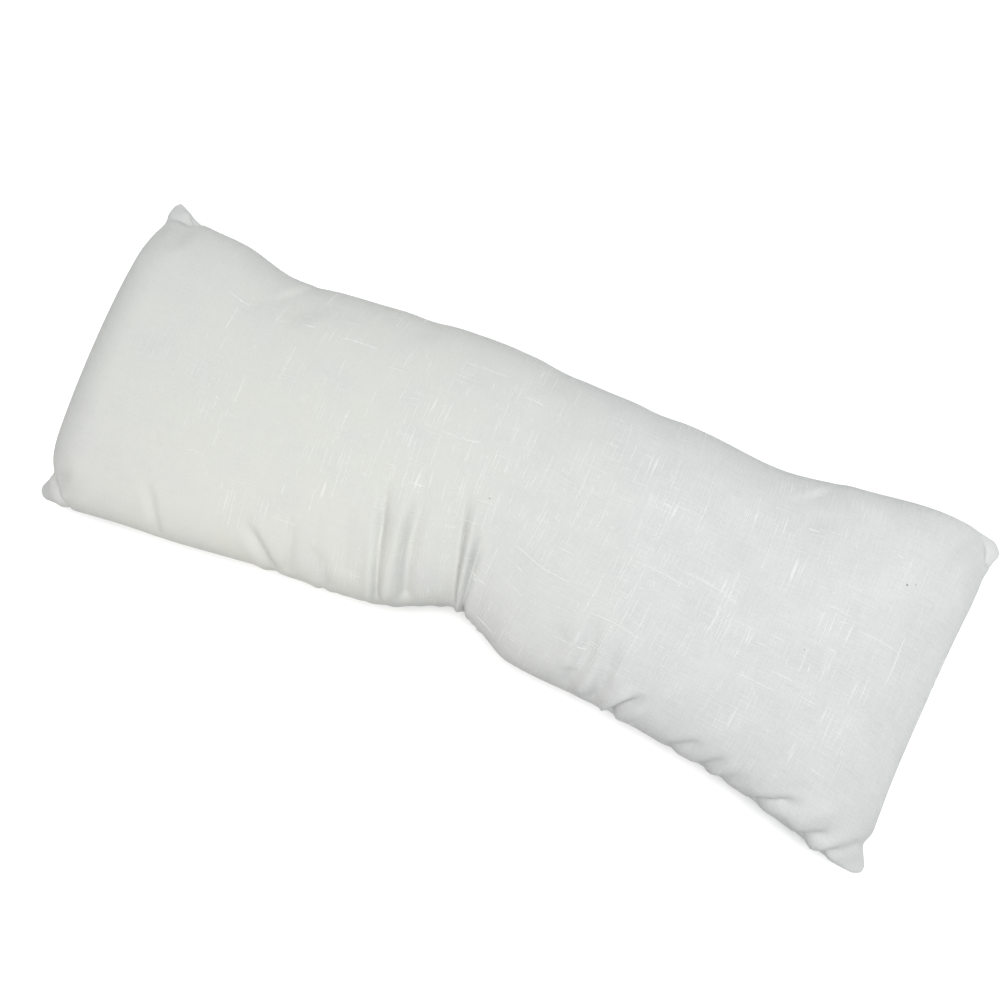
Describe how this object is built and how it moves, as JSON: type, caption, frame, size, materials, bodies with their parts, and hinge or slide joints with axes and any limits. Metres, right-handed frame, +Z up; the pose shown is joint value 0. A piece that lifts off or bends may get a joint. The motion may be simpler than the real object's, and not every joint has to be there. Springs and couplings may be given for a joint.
{
  "type": "lumbar throw pillow",
  "caption": "Long filled lumbar throw pillow in off-white slubbed linen, with plain knife-edge seams, small empty corner ears and one long side nipped into soft folds.",
  "frame": {"origin": "middle of the pillow's outline, on the surface that its back panel rests on", "axes": "+X along the pillow, +Y across it away from the nipped side, +Z up out of the face"},
  "size_m": [0.9038, 0.3468, 0.1403],
  "materials": {
    "linen": "matt plain-woven slubbed linen"
  },
  "bodies": {
    "root": {"cushion": "linen"}
  },
  "joints": []
}
